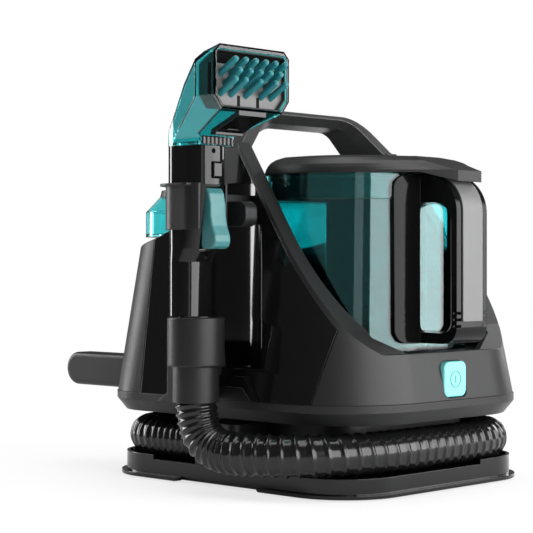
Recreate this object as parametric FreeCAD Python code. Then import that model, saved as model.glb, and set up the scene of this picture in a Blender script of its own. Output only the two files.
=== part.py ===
import FreeCAD, Part
import math
import os

os.makedirs("parts", exist_ok=True)
V = FreeCAD.Vector

# Frame: millimetres, +Z up, origin on the floor under the middle of the base.
# Front (dirty tank, power button) is -Y, the side with the docked hand tool is -X.

# Base
base_width = 262.0
base_length = 310.0
base_corner = 57.0
foot_height = 1.8
lip_bottom = 1.2
side_arch_height = 4.6
lip_height = 3.2
lip_width = 4.7
tray_top = 17.5
tray_wall = 3.0
side_arch_front = -54.0
side_arch_rear = 50.0
ear_height = 4.0
ear_wall = 2.8
plate_thick = 2.5
plate_field_low = 1.2
plate_field_inset = 19.0
foot_diameter = 26.0
foot_inset = 42.0

# Waist, where the hose is stored
core_half = 86.0
core_front = -112.0
core_rear = 112.0
core_corner = 26.0
core_wall = 3.0

# Lower housing
housing_bottom = 60.0
seam_height = 77.0
skirt_chamfer_rise = 10.5
skirt_inset = 8.5
shell_wall = 3.0
seam_gap = 0.5

# Outline of the upper body where it starts to lean, and how it leans inwards going up
lean_start = 73.0
body_half = 135.5
body_front = -162.0
body_rear = 155.0
front_corner = 80.0
rear_corner = 55.0
side_lean = 0.1244
front_lean = 0.20
rear_lean = 0.10
front_corner_lean = 0.10
body_top = 330.0

# Side profile: the rim climbs from the tank ledge to the carry handle
ledge_height = 117.5
rim_foot_y = -128.0
rim_foot_z = 138.0
rim_head_y = -6.0
rim_head_z = 298.0
ledge_end_y = -148.0
rim_width = 15.0
rim_thick = 4.0
gloss_edge_low_y = -112.0
gloss_edge_high_y = -129.0
gloss_edge_high_z = 165.0
rear_seam_y = 90.0
rear_seam_z = 215.0
cover_rear_z = 203.0

# Carry handle
handle_front = -8.0
handle_depth = 35.0
handle_top = 330.4
handle_foot = 262.0
handle_shoulder = 292.0
handle_slant = 42.5
handle_rake = 0.417
handle_round_run = 22.0
handle_leg = 39.5
handle_grip_height = 14.6
handle_strip = 14.5
handle_strip_top = 3.4
handle_strip_run = 15.0
handle_bevel_depth = 14.0
handle_bevel_rake = 0.30
handle_bevel_leg = 25.3
handle_bevel_drop = 11.0
handle_inner_run = 10.0

# Deck that carries the two tanks
deck_thick = 3.0
deck_front = 117.5
deck_rear = 150.0
deck_step_y = 30.3

# Fits
fit_gap = 0.3
slide_gap = 0.6


def plan_wire(half, front, rear, front_r, rear_r, z):
    """Closed outline: straight sides, a rounded front and a rounded rear."""
    corner = math.sqrt(0.5)
    points = [
        (V(-half + front_r, front, z), V(half - front_r, front, z)),
        (half - front_r, front + front_r, front_r, 1, -1),
        (V(half, front + front_r, z), V(half, rear - rear_r, z)),
        (half - rear_r, rear - rear_r, rear_r, 1, 1),
        (V(half - rear_r, rear, z), V(-half + rear_r, rear, z)),
        (-half + rear_r, rear - rear_r, rear_r, -1, 1),
        (V(-half, rear - rear_r, z), V(-half, front + front_r, z)),
        (-half + front_r, front + front_r, front_r, -1, -1),
    ]
    edges = []
    for index, item in enumerate(points):
        if len(item) == 2:
            edges.append(Part.makeLine(item[0], item[1]))
            continue
        cx, cy, radius, sx, sy = item
        start = points[index - 1][1]
        end = points[(index + 1) % len(points)][0]
        middle = V(cx + sx * radius * corner, cy + sy * radius * corner, z)
        edges.append(Part.Arc(start, middle, end).toShape())
    return Part.Wire(edges)


def plan_prism(half, front, rear, front_r, rear_r, low, high):
    face = Part.Face(plan_wire(half, front, rear, front_r, rear_r, low))
    return face.extrude(V(0, 0, high - low))


def box(x0, x1, y0, y1, z0, z1):
    return Part.makeBox(x1 - x0, y1 - y0, z1 - z0, V(x0, y0, z0))


def rod(radius, start, end):
    line = V(*end) - V(*start)
    return Part.makeCylinder(radius, line.Length, V(*start), line)


def tube(outer, inner, start, end):
    return rod(outer, start, end).cut(rod(inner, start, end))


def prism_x(points, x0, x1):
    """Solid whose side view is the polygon of (y, z) points."""
    corners = [V(x0, y, z) for y, z in points]
    return Part.Face(Part.makePolygon(corners + corners[:1])).extrude(V(x1 - x0, 0, 0))


def prism_y(points, y0, y1):
    """Solid whose front view is the polygon of (x, z) points."""
    corners = [V(x, y0, z) for x, z in points]
    return Part.Face(Part.makePolygon(corners + corners[:1])).extrude(V(0, y1 - y0, 0))


def prism_z(points, z0, z1):
    """Solid whose plan is the polygon of (x, y) points."""
    corners = [V(x, y, z0) for x, y in points]
    return Part.Face(Part.makePolygon(corners + corners[:1])).extrude(V(0, 0, z1 - z0))


def fillet_where(shape, radius, keep):
    """Round the edges whose middle point passes the test."""
    edges = [edge for edge in shape.Edges if keep(edge)]
    return shape.makeFillet(radius, edges) if edges else shape


def save(name, shape):
    solids = shape.Solids
    shape = solids[0] if len(solids) == 1 else Part.makeCompound(solids)
    shape.exportStep("parts/" + name + ".step")


# Base tray, plate and feet

wall_half = base_width / 2 - lip_width
wall_end = base_length / 2 - lip_width


def base_outline(inset, low, high):
    return plan_prism(base_width / 2 - inset, -base_length / 2 + inset, base_length / 2 - inset,
                      base_corner - inset, base_corner - inset, low, high)


def side_arch(low, high, run):
    """Block that lifts the lip clear of the floor between the two foot zones."""
    points = [(side_arch_front, low), (side_arch_rear, low),
              (side_arch_rear - run, high), (side_arch_front + run, high)]
    return prism_x(points, -base_width, base_width)


tray = base_outline(0, lip_bottom, lip_bottom + lip_height)
tray = tray.fuse(base_outline(lip_width, lip_bottom, tray_top))
tray = tray.cut(base_outline(lip_width + tray_wall, lip_bottom, tray_top - tray_wall))
tray = tray.cut(side_arch(lip_bottom - 1, side_arch_height, side_arch_height))

ear_ring = base_outline(lip_width, tray_top, tray_top + ear_height)
ear_ring = ear_ring.cut(base_outline(lip_width + ear_wall, tray_top, tray_top + ear_height))
ear_side = 82.0
ear_front_x = 48.0
ear_zones = [
    box(-wall_half, -ear_front_x, ear_side, wall_end, tray_top, tray_top + ear_height),
    box(ear_front_x, wall_half, ear_side, wall_end, tray_top, tray_top + ear_height),
    box(ear_front_x, wall_half, -wall_end, -ear_side, tray_top, tray_top + ear_height),
]
for zone in ear_zones:
    tray = tray.fuse(ear_ring.common(zone))
tray_posts = [(-60.0, -100.0), (60.0, -100.0), (-60.0, 100.0), (60.0, 100.0)]
for x, y in tray_posts:
    tray = tray.fuse(rod(5.0, (x, y, foot_height + plate_thick), (x, y, tray_top - tray_wall)))
save("base_tray", tray.removeSplitter())

plate_inset = lip_width + tray_wall + fit_gap
base_plate = base_outline(plate_inset, foot_height, foot_height + plate_thick)
field_half = base_width / 2 - foot_inset - plate_field_inset
base_plate = base_plate.fuse(base_outline(plate_inset + 2.0, plate_field_low, foot_height).common(
    box(-field_half, field_half, -wall_end, wall_end, plate_field_low, foot_height)))
save("base_plate", base_plate.removeSplitter())

feet = []
for side in (-1, 1):
    for end in (-1, 1):
        x = side * (base_width / 2 - foot_inset)
        y = end * (base_length / 2 - foot_inset)
        pad = rod(foot_diameter / 2, (x, y, 0), (x, y, foot_height))
        feet.append(fillet_where(pad, 0.4, lambda edge: edge.BoundBox.ZMax < 0.01))
save("rubber_feet", Part.makeCompound(feet))

# Waist core

core = plan_prism(core_half, core_front, core_rear, core_corner, core_corner, tray_top, housing_bottom)
core_inner = plan_prism(core_half - core_wall, core_front + core_wall, core_rear - core_wall,
                        core_corner - core_wall, core_corner - core_wall, tray_top, housing_bottom)
save("waist_core", core.cut(core_inner))

# Body outline helpers


def body_section(inset, z):
    up = z - lean_start
    return plan_wire(body_half - side_lean * up - inset, body_front + front_lean * up + inset,
                     body_rear - rear_lean * up - inset, front_corner - front_corner_lean * up - inset,
                     rear_corner - inset, z)


def body_block(inset, low, high):
    return Part.makeLoft([body_section(inset, low), body_section(inset, high)], True, True)


def side_x(z, inset=0.0):
    """Distance of the side face from the middle plane at height z."""
    return body_half - side_lean * (z - lean_start) - inset


# Lower housing: floor, chamfered skirt and the saddle behind the hose cuff

skirt_edge_z = housing_bottom + skirt_chamfer_rise


def skirt_wire(inset, z):
    return plan_wire(body_half - inset, body_front + inset, body_rear - inset,
                     front_corner - inset, rear_corner - inset, z)


skirt = Part.makeLoft([skirt_wire(skirt_inset, housing_bottom), skirt_wire(0, skirt_edge_z)], True, True)
skirt = skirt.fuse(plan_prism(body_half, body_front, body_rear, front_corner, rear_corner,
                              skirt_edge_z, seam_height))
hollow_floor = housing_bottom + shell_wall
skirt_hollow = Part.makeLoft([skirt_wire(skirt_inset + shell_wall, hollow_floor),
                              skirt_wire(shell_wall * 1.3, skirt_edge_z)], True, True)
skirt_hollow = skirt_hollow.fuse(plan_prism(
    body_half - shell_wall * 1.3, body_front + shell_wall * 1.3, body_rear - shell_wall * 1.3,
    front_corner - shell_wall * 1.3, rear_corner - shell_wall * 1.3, skirt_edge_z, seam_height))
lower_housing = skirt.cut(skirt_hollow)

# Exhaust slots in the housing floor, over the fan
fan_x = 22.0
fan_y = 82.0
vent_count = 7
vent_pitch = 9.0
vent_length = 44.0
vent_width = 4.5
for index in range(vent_count):
    y = core_rear + fit_gap + vent_width
    x = fan_x + (index - (vent_count - 1) / 2) * vent_pitch
    lower_housing = lower_housing.cut(box(x - vent_width / 2, x + vent_width / 2, y,
                                          y + vent_length / 2, housing_bottom - 1, hollow_floor + 1))

# Saddle: a low plate on the left side behind the hose cuff
saddle_top = 88.0
saddle_proud = 1.5
saddle_deep = 0.5
saddle_points = [(66.0, skirt_edge_z), (46.0, 84.0), (40.0, saddle_top), (-40.0, saddle_top), (-50.0, seam_height)]
saddle = prism_x(saddle_points, -side_x(seam_height) - saddle_proud, -side_x(saddle_top) + saddle_deep)
lower_housing = lower_housing.fuse(saddle)

# Posts that carry the tank deck
post_radius = 5.0
front_posts = [(-96.0, -72.0), (96.0, -72.0), (-60.0, -125.0), (60.0, -125.0), (96.0, 10.0), (-84.0, 14.0)]
rear_posts = [(-100.0, 70.0), (100.0, 70.0), (-55.0, 130.0), (80.0, 130.0)]
for x, y in front_posts:
    lower_housing = lower_housing.fuse(rod(post_radius, (x, y, hollow_floor), (x, y, deck_front - deck_thick)))
for x, y in rear_posts:
    lower_housing = lower_housing.fuse(rod(post_radius, (x, y, hollow_floor), (x, y, deck_rear - deck_thick)))

# Short posts under the control board
board_x = 30.0
board_front = -92.0
board_rear = -52.0
board_low = 78.0
for x in (-board_x + 4.0, board_x - 4.0):
    for y in (board_front + 4.0, board_rear - 4.0):
        lower_housing = lower_housing.fuse(rod(2.5, (x, y, hollow_floor), (x, y, board_low)))
save("lower_housing", lower_housing.removeSplitter())

# Upper body shells, cut from one leaning block by the side profile

body_low = seam_height
outer = body_block(0, body_low, body_top)
inner = body_block(shell_wall, body_low - 1, body_top + 1)
body_shell = outer.cut(inner)

rim_slope = (rim_head_z - rim_foot_z) / (rim_head_y - rim_foot_y)
far = 400.0


def profile(drop):
    """Area under the rim line, lowered by drop square to itself, back to the hoop."""
    run = math.hypot(rim_head_y - rim_foot_y, rim_head_z - rim_foot_z)
    step_y = drop * (rim_head_z - rim_foot_z) / run
    step_z = drop * (rim_head_y - rim_foot_y) / run
    flat = drop * math.tan(math.atan(rim_slope) / 2)
    return [(-far, ledge_height - drop), (ledge_end_y + flat, ledge_height - drop),
            (rim_foot_y + step_y, rim_foot_z - step_z),
            (rim_head_y + step_y, rim_head_z - step_z)]


def below_rim(drop):
    points = profile(drop)
    points += [(far, points[-1][1]), (far, 0.0), (-far, 0.0)]
    return prism_x(points, -far, far)


rim_deep = body_block(rim_width, body_low - 1, body_top + 1)
rim_band = below_rim(0).cut(below_rim(rim_thick))
bar_front = handle_front + handle_rake * (handle_top - handle_shoulder)
rake_line = [(handle_front, 0.0), (handle_front, handle_shoulder), (bar_front, handle_top), (bar_front, far)]
before_hoop = prism_x(rake_line + [(-far, far), (-far, 0.0)], -far, far)
tank_rim = outer.cut(rim_deep).common(rim_band).common(before_hoop)

# The carry handle: a hoop across the body whose front leans back above the shoulders
# Each slanted leg bends into a straight bar, and a bevel runs round the front of the opening


def arch_points(inset, drop, run):
    """Shoulder, slanted leg's end, middle of the bend and bar's end of an arch, set in by inset at the
    leg and dropped by drop at the bar, whose bend starts run away from its corner."""
    slant = math.radians(handle_slant)
    shoulder_x = side_x(handle_shoulder) - inset
    top = handle_top - drop
    corner_x = shoulder_x - (top - handle_shoulder) / math.tan(slant)
    sag = run * math.tan(slant / 4)
    return [(shoulder_x, handle_shoulder),
            (corner_x + run * math.cos(slant), top - run * math.sin(slant)),
            (corner_x - sag * math.sin(slant / 2), top - sag * math.cos(slant / 2)),
            (corner_x - run, top)]


def arch_wire(points, front, rake):
    """Closed outline of an arch above its shoulders, in a plane that leans back by rake."""
    right = [V(x, front + rake * (z - handle_shoulder), z) for x, z in points]
    left = [V(-p.x, p.y, p.z) for p in right]
    edges = [Part.makeLine(right[0], right[1])]
    edges.append(Part.Arc(right[1], right[2], right[3]).toShape())
    edges.append(Part.makeLine(right[3], left[3]))
    edges.append(Part.Arc(left[3], left[2], left[1]).toShape())
    edges.append(Part.makeLine(left[1], left[0]))
    edges.append(Part.makeLine(left[0], right[0]))
    return Part.Wire(edges)


def legs_wire(inset, y):
    """Outline of the same arch below its shoulders, down to the foot."""
    foot_x = side_x(handle_foot) - inset
    shoulder_x = side_x(handle_shoulder) - inset
    corners = [V(-foot_x, y, handle_foot), V(foot_x, y, handle_foot),
               V(shoulder_x, y, handle_shoulder), V(-shoulder_x, y, handle_shoulder)]
    return Part.makePolygon(corners + corners[:1])


hoop_back = handle_front + handle_depth
hoop_step = V(0, handle_depth, 0)
hoop = Part.Face(arch_wire(arch_points(0, 0, handle_round_run), handle_front, 0)).extrude(hoop_step)
hoop = hoop.fuse(Part.Face(legs_wire(0, handle_front)).extrude(hoop_step)).removeSplitter()
back_round = 6.0
hoop = fillet_where(hoop, back_round, lambda edge: abs(edge.BoundBox.YMin - hoop_back) < 0.01
                    and edge.BoundBox.YLength < 0.01 and edge.BoundBox.ZMin > handle_foot + 0.5)
hoop = hoop.cut(before_hoop)

strip_arch = arch_points(handle_strip, handle_strip_top, handle_strip_run)
bevel_arch = arch_points(handle_bevel_leg, handle_bevel_drop, handle_inner_run)
grip_arch = arch_points(handle_leg, handle_grip_height, handle_inner_run)
bevel_end = handle_front + handle_bevel_depth
strip_wire = arch_wire(strip_arch, handle_front, handle_rake)
bevel_wire = arch_wire(bevel_arch, bevel_end, handle_bevel_rake)
grip_wire = arch_wire(grip_arch, hoop_back, 0)
opening = Part.makeLoft([strip_wire, bevel_wire], True, True)
opening = opening.fuse(Part.makeLoft([bevel_wire, grip_wire], True, True))
strip_legs = legs_wire(handle_strip, handle_front)
bevel_legs = legs_wire(handle_bevel_leg, bevel_end)
grip_legs = legs_wire(handle_leg, hoop_back)
opening = opening.fuse(Part.makeLoft([strip_legs, bevel_legs], True, True))
opening = opening.fuse(Part.makeLoft([bevel_legs, grip_legs], True, True))
hoop = hoop.cut(opening)

# Side panels, front shell and rear cover, each cut from the same leaning shell

gloss_run = [(gloss_edge_low_y, 0.0), (gloss_edge_low_y, seam_height), (gloss_edge_high_y, gloss_edge_high_z),
             (gloss_edge_high_y, far)]


def ahead_of(points, shift):
    """Everything in front of a line of (y, z) points, moved by shift."""
    moved = [(y + shift, z) for y, z in points]
    return prism_x(moved + [(-far, far), (-far, 0.0)], -far, far)


cover_top = [(hoop_back, handle_foot), (rear_seam_y - 22.0, rear_seam_z + 8.0), (rear_seam_y, rear_seam_z)]
cover_back = cover_top + [(body_rear - 14.0, cover_rear_z), (far, cover_rear_z)]
above_cover = prism_x(cover_back + [(far, far), (hoop_back, far)], -far, far)
above_foot = box(-far, far, handle_front - 4.0, far, handle_foot, far)
shell_room = below_rim(rim_thick)
walls = body_shell.common(shell_room).cut(above_cover).cut(above_foot)
front_zone = ahead_of(gloss_run, 0.0)
behind_front = ahead_of(gloss_run, seam_gap)
rear_zone = box(-far, far, rear_seam_y, far, 0, far)
behind_rear = box(-far, far, rear_seam_y - seam_gap, far, 0, far)

front_shell = walls.common(front_zone)
front_shell = front_shell.fuse(tank_rim)
side_walls = walls.cut(behind_front).cut(behind_rear)
left_panel = side_walls.common(box(-far, 0, -far, far, 0, far))
right_panel = side_walls.common(box(0, far, -far, far, 0, far))
rear_cover = walls.common(rear_zone)

# Dock recess in the left panel: a shallow pocket with a deep round channel for the tool
tool_x = -166.0
tool_y = -15.0
recess_radius = 55.0
recess_x = -160.0
recess_y = -9.0
recess_low = 104.0
pocket_depth = 5.0
recess = rod(recess_radius, (recess_x, recess_y, recess_low), (recess_x, recess_y, far))
recess_skin = rod(recess_radius + shell_wall, (recess_x, recess_y, recess_low - shell_wall),
                  (recess_x, recess_y, far))
pocket_points = [(-48.0, 150.0), (-66.0, 139.0), (-61.0, recess_low), (40.0, recess_low), (46.0, 139.0),
                 (30.0, 150.0)]


def pocket_block(depth, grow):
    """The pocket follows the lean of the side face."""
    corners = [(y + grow * (1 if y > 0 else -1), z + grow * (1 if z > 120 else -1)) for y, z in pocket_points]
    deep = prism_x(corners, -far, 0)
    return deep.cut(body_block(depth, body_low - 1, body_top))


left_solid = outer.common(shell_room).cut(above_cover).cut(above_foot).cut(behind_front).cut(behind_rear)
left_solid = left_solid.common(box(-far, 0, -far, far, 0, far))
lining = recess_skin.fuse(pocket_block(pocket_depth + shell_wall, shell_wall)).common(left_solid)
left_panel = left_panel.fuse(lining).cut(recess).cut(pocket_block(pocket_depth, 0.0))
saddle_room = saddle.copy()
saddle_room = saddle_room.fuse(saddle.translated(V(0, 0, fit_gap))).fuse(saddle.translated(V(fit_gap, 0, 0)))
left_panel = left_panel.cut(saddle_room)
ledge_low = saddle_top + fit_gap
ledge_rise = 9.2
ledge_proud = 2.2
ledge_points = [(38.0, ledge_low), (38.0, ledge_low + ledge_rise), (-43.0, ledge_low + ledge_rise),
                (-58.0, seam_height + fit_gap), (-50.6, seam_height + fit_gap), (-40.3, ledge_low)]
ledge = prism_x(ledge_points, -side_x(seam_height) - ledge_proud, -side_x(ledge_low + ledge_rise) + saddle_deep)
ledge = ledge.cut(saddle_room)
left_panel = left_panel.fuse(ledge)

# Pillars of the carry handle: they stand on the tank deck inside the side panels
dock_room = rod(recess_radius + shell_wall + fit_gap, (recess_x, recess_y, 0), (recess_x, recess_y, far))
dock_room = dock_room.common(box(-far, far, -far, far, recess_low - shell_wall - fit_gap, far))
dock_room = dock_room.fuse(pocket_block(pocket_depth + shell_wall + fit_gap, shell_wall + fit_gap))
pillar_inner = side_x(handle_foot) - handle_leg
inside_shells = body_block(shell_wall + fit_gap, body_low, body_top)
for side in (-1, 1):
    near = min(side * pillar_inner, side * far)
    pillar = box(near, near + far - pillar_inner, handle_front, hoop_back, deck_front, handle_foot)
    hoop = hoop.fuse(pillar.common(inside_shells).cut(dock_room))
save("carry_handle", hoop)
save("left_side_panel", left_panel)
save("right_side_panel", right_panel)

# Power button opening in the front shell
button_x = 0.0
button_z = 94.5
button_size = 30.0
button_corner = 6.0
button_proud = 2.2
button_depth = 11.0
button_travel = 2.5


def rounded_block(half_x, half_z, x, z, corner, y0, y1):
    """Block with rounded corners in front view."""
    block = box(x - half_x, x + half_x, y0, y1, z - half_z, z + half_z)
    return fillet_where(block, corner, lambda edge: edge.BoundBox.YLength > (y1 - y0) * 0.9
                        and edge.BoundBox.XLength < 0.01 and edge.BoundBox.ZLength < 0.01)


front_face_y = body_front + front_lean * (button_z - lean_start)
button_gap = 0.5
hole_half = button_size / 2 + button_gap
front_shell = front_shell.cut(rounded_block(hole_half, hole_half, button_x, button_z, button_corner + button_gap,
                                            front_face_y - 20, front_face_y + 20))
# The rim sinks to the flat ledge towards the middle of the front
ledge_half = 50.0
ledge_ramp_x = 80.0
ledge_ramp_z = 131.0
ledge_back = -120.0
ledge_room = prism_y([(-ledge_half, ledge_height), (ledge_half, ledge_height), (ledge_ramp_x, ledge_ramp_z),
                      (ledge_ramp_x, far), (-ledge_ramp_x, far), (-ledge_ramp_x, ledge_ramp_z)],
                     body_front, ledge_back)
front_shell = front_shell.cut(ledge_room)
save("front_shell", front_shell)
save("rear_cover", rear_cover)

# Tank deck: a stepped floor inside the shells

deck_points = [(-far, deck_front - deck_thick), (deck_step_y, deck_front - deck_thick),
               (deck_step_y, deck_rear - deck_thick), (far, deck_rear - deck_thick),
               (far, deck_rear), (deck_step_y - deck_thick, deck_rear),
               (deck_step_y - deck_thick, deck_front), (-far, deck_front)]
rim_room = outer.cut(body_block(rim_width + fit_gap, body_low - 1, body_top + 1))
rim_room = rim_room.common(below_rim(-1.0).cut(below_rim(rim_thick + fit_gap)))
tank_deck = prism_x(deck_points, -far, far).common(inside_shells).cut(dock_room).cut(rim_room)
valve_x = 0.0
valve_y = 84.0
valve_hole = 9.0
tank_deck = tank_deck.cut(rod(valve_hole, (valve_x, valve_y, 0), (valve_x, valve_y, far)))
duct_x = 22.0
duct_y = -30.0
duct_half = 12.0
duct_wall = 2.0
duct_bore = duct_half - duct_wall
tank_deck = tank_deck.cut(box(duct_x - duct_bore, duct_x + duct_bore, duct_y - duct_bore, duct_y + duct_bore,
                              deck_front - deck_thick - 1, deck_front + 1))
save("tank_deck", tank_deck)

# Dirty water tank

tank_front = -136.0
tank_rear = -14.0
tank_front_r = 76.0
tank_rear_r = 24.0
tank_wall = 2.6
tank_floor = deck_front + fit_gap
tank_top = 269.0
tank_half_top = 95.0
tank_lean = 0.02
band_low = 247.0
band_proud = 1.6


def tank_wire(inset, z):
    half = tank_half_top + tank_lean * (tank_top - z) - inset
    return plan_wire(half, tank_front + inset, tank_rear - inset, tank_front_r - inset, tank_rear_r - inset, z)


def tank_block(inset, low, high):
    return Part.makeLoft([tank_wire(inset, low), tank_wire(inset, high)], True, True)


tank_solid = tank_block(band_proud, tank_floor, band_low).fuse(tank_block(0, band_low, tank_top))
dirty_tank = tank_solid.cut(tank_block(band_proud + tank_wall, tank_floor + tank_wall, tank_top + 1))
save("dirty_tank_body", dirty_tank)

# Handle of the dirty tank: a back plate that hugs the tank, two arms and the grip

grip_half = 21.0
grip_front = -177.0
grip_thick = 5.0
pad_half = 49.0
pad_thick = 2.4
pad_low = 125.0
pad_window_low = 134.0
pad_window_high = 244.0
pad_corner = 12.0
lid_low = 269.0
plate_proud = 1.2
loop_top = lid_low - fit_gap - plate_proud
pad = tank_block(-pad_thick, pad_low, loop_top).cut(tank_solid)
pad = pad.common(rounded_block(pad_half, (loop_top - pad_low) / 2, 0, (loop_top + pad_low) / 2, pad_corner,
                               grip_front, -90.0))
window_middle = (pad_window_low + pad_window_high) / 2
window_half_z = (pad_window_high - pad_window_low) / 2
window = rounded_block(grip_half, window_half_z, 0, window_middle, 8.0, -150.0, -90.0)
pad = pad.cut(window)
nose_r = 14.0
crown_r = 32.0
gap_r = 10.0
gap_crown_r = 20.0


def grip_block(half, proud, rear):
    """Side profile of the grip: a rounded nose below and a large crown above."""
    block = box(-half, half, grip_front - proud, rear, pad_low, loop_top + proud)
    block = fillet_where(block, nose_r + proud, lambda edge: edge.BoundBox.XLength > half
                         and edge.BoundBox.YMax < grip_front + 0.01 and edge.BoundBox.ZMax < pad_low + 0.1)
    return fillet_where(block, crown_r + proud, lambda edge: edge.BoundBox.XLength > half
                        and edge.BoundBox.YMax < grip_front + 0.01 and edge.BoundBox.ZMin > loop_top - 0.1)


loop_solid = grip_block(grip_half, 0.0, tank_front)
loop_gap_y = grip_front + grip_thick
gap = box(-far, far, loop_gap_y, tank_front + 1, pad_window_low, pad_window_high)
gap = fillet_where(gap, gap_r, lambda edge: edge.BoundBox.XLength > far and edge.BoundBox.YMax < loop_gap_y + 0.1
                   and edge.BoundBox.ZMax < pad_window_low + 0.1)
gap = fillet_where(gap, gap_crown_r, lambda edge: edge.BoundBox.XLength > far
                   and edge.BoundBox.YMax < loop_gap_y + 0.1 and edge.BoundBox.ZMin > pad_window_high - 0.1)
loop = loop_solid.cut(gap).cut(tank_solid)
fin_count = 3
fin_gap = 2.0
fin_pitch = 5.5
for index in range(fin_count):
    z = pad_low + nose_r + index * fin_pitch
    loop = loop.cut(box(-grip_half - 1, -grip_half + 6.0, grip_front - 1, grip_front + 3.5, z, z + fin_gap))
    loop = loop.cut(box(grip_half - 6.0, grip_half + 1, grip_front - 1, grip_front + 3.5, z, z + fin_gap))
save("tank_handle", loop.fuse(pad))

grip_plate_half = 13.5
grip_plate_low = 144.0
grip_plate_rear = -146.0
grip_plate = grip_block(grip_plate_half, plate_proud, tank_front).cut(loop_solid)
grip_plate = grip_plate.common(box(-far, far, -far, grip_plate_rear, grip_plate_low, far))
save("grip_plate", grip_plate)

# Lid of the dirty tank: a crowned cap with a tongue that runs out over the handle

lid_top = 284.5
lid_overhang = 0.9
tongue_front = -175.0
tongue_half = 20.0
tongue_low = 261.0
tongue_step = 4.0
lid_levels = [
    (lid_low, 0.0, tongue_front, tongue_half),
    (270.8, 0.3, tongue_front, tongue_half),
    (273.5, 1.2, -166.0, 23.0),
    (276.5, 2.6, -156.0, 27.0),
    (279.5, 5.0, -147.0, 32.0),
    (282.2, 9.0, -139.0, 30.0),
    (lid_top, 16.0, -130.0, 20.0),
]


def lid_section(z, inset, tip, tip_half):
    """Tank outline with its front drawn out into a blunt point by two tangent lines."""
    half = tank_half_top + lid_overhang - inset
    front = tank_front - lid_overhang + inset
    rear = tank_rear + lid_overhang - inset
    front_r = tank_front_r - inset * 0.8
    rear_r = tank_rear_r - inset * 0.8
    cx = half - front_r
    cy = front + front_r
    to_tip = V(tip_half - cx, tip + tongue_step - cy, 0)
    angle = math.atan2(to_tip.y, to_tip.x) + math.acos(front_r / to_tip.Length)
    touch = V(cx + front_r * math.cos(angle), cy + front_r * math.sin(angle), z)
    bow = V(cx + front_r * math.cos(angle / 2), cy + front_r * math.sin(angle / 2), z)
    side = [V(half, cy, z), V(half, rear - rear_r, z)]
    turn = V(half - rear_r + rear_r * math.sqrt(0.5), rear - rear_r + rear_r * math.sqrt(0.5), z)
    back = V(half - rear_r, rear, z)
    shoulder = V(tip_half, tip + tongue_step, z)
    nose = V(tip_half - tongue_step, tip, z)

    def other(point):
        return V(-point.x, point.y, point.z)

    edges = [
        Part.makeLine(other(nose), nose),
        Part.makeLine(nose, shoulder),
        Part.makeLine(shoulder, touch),
        Part.Arc(touch, bow, side[0]).toShape(),
        Part.makeLine(side[0], side[1]),
        Part.Arc(side[1], turn, back).toShape(),
        Part.makeLine(back, other(back)),
        Part.Arc(other(back), other(turn), other(side[1])).toShape(),
        Part.makeLine(other(side[1]), other(side[0])),
        Part.Arc(other(side[0]), other(bow), other(touch)).toShape(),
        Part.makeLine(other(touch), other(shoulder)),
        Part.makeLine(other(shoulder), other(nose)),
    ]
    return Part.Wire(edges)


lid = None
for low, high in zip(lid_levels, lid_levels[1:]):
    layer = Part.makeLoft([lid_section(*low), lid_section(*high)], True, True)
    lid = layer if lid is None else lid.fuse(layer)

# Underside of the tongue: it slopes down to the front over the crown of the grip
tongue_bend = -152.0
tongue_foot = Part.Face(lid_section(tongue_low, 0.0, tongue_front, tongue_half))
tongue_foot = tongue_foot.extrude(V(0, 0, lid_low - tongue_low))
tongue_slope = prism_x([(tongue_bend, lid_low), (tongue_front - 1, tongue_low), (tongue_front - 1, lid_low)],
                       -tank_half_top, tank_half_top)
lid = lid.fuse(tongue_foot.common(tongue_slope))
lid_skirt_gap = 0.4
plug_deep = 6.0
plug_wall = 2.6
lid_roof = 8.0
plug_inset = band_proud + tank_wall + lid_skirt_gap
lid = lid.fuse(tank_block(plug_inset, lid_low - plug_deep, lid_low))
lid = lid.cut(tank_block(plug_inset + plug_wall, lid_low - plug_deep - 1, lid_top - lid_roof))
gasket_low = lid_low - 4.6
gasket_high = lid_low - 2.0
gasket_deep = 1.4
gasket_ring = tank_block(plug_inset - 0.25, gasket_low, gasket_high)
gasket_ring = gasket_ring.cut(tank_block(plug_inset + gasket_deep, gasket_low - 1, gasket_high + 1))
lid = lid.cut(gasket_ring)
save("dirty_tank_lid", lid)
save("lid_gasket", gasket_ring)

# Standpipe under the lid, with a ring float that rides on it
pipe_x = 22.0
pipe_y = -60.0
pipe_radius = 13.0
pipe_wall = 2.0
pipe_low = 165.0
stop_radius = 18.0
stop_height = 4.0
float_outer = 24.0
float_height = 22.0
pipe_high = lid_top - lid_roof
standpipe = rod(pipe_radius, (pipe_x, pipe_y, pipe_low), (pipe_x, pipe_y, pipe_high))
standpipe = standpipe.fuse(rod(stop_radius, (pipe_x, pipe_y, pipe_low), (pipe_x, pipe_y, pipe_low + stop_height)))
standpipe = standpipe.cut(rod(pipe_radius - pipe_wall, (pipe_x, pipe_y, pipe_low - 1),
                              (pipe_x, pipe_y, pipe_high + 1)))
save("standpipe", standpipe)
float_low = pipe_low + stop_height
save("float_ring", tube(float_outer, pipe_radius + slide_gap, (pipe_x, pipe_y, float_low),
                        (pipe_x, pipe_y, float_low + float_height)))

# Upright plate that parts the dirty tank into an inlet side and a suction side
baffle_x = -5.9
baffle_half = 1.1
baffle_top = 260.0
baffle_room = fit_gap + band_proud + tank_wall
save("tank_baffle", box(baffle_x - baffle_half, baffle_x + baffle_half, tank_front + baffle_room,
                        tank_rear - baffle_room, tank_floor + tank_wall, baffle_top))

# Clean water tank: a narrow lower box, a wider shoulder and a leaning top
clean_front = 31.5
clean_floor = deck_rear + fit_gap
clean_shoulder = 217.0
clean_slope = 240.0
clean_top = 254.0
clean_plate_top = 260.0
clean_wall = 2.5
clean_front_r = 10.0


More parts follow.
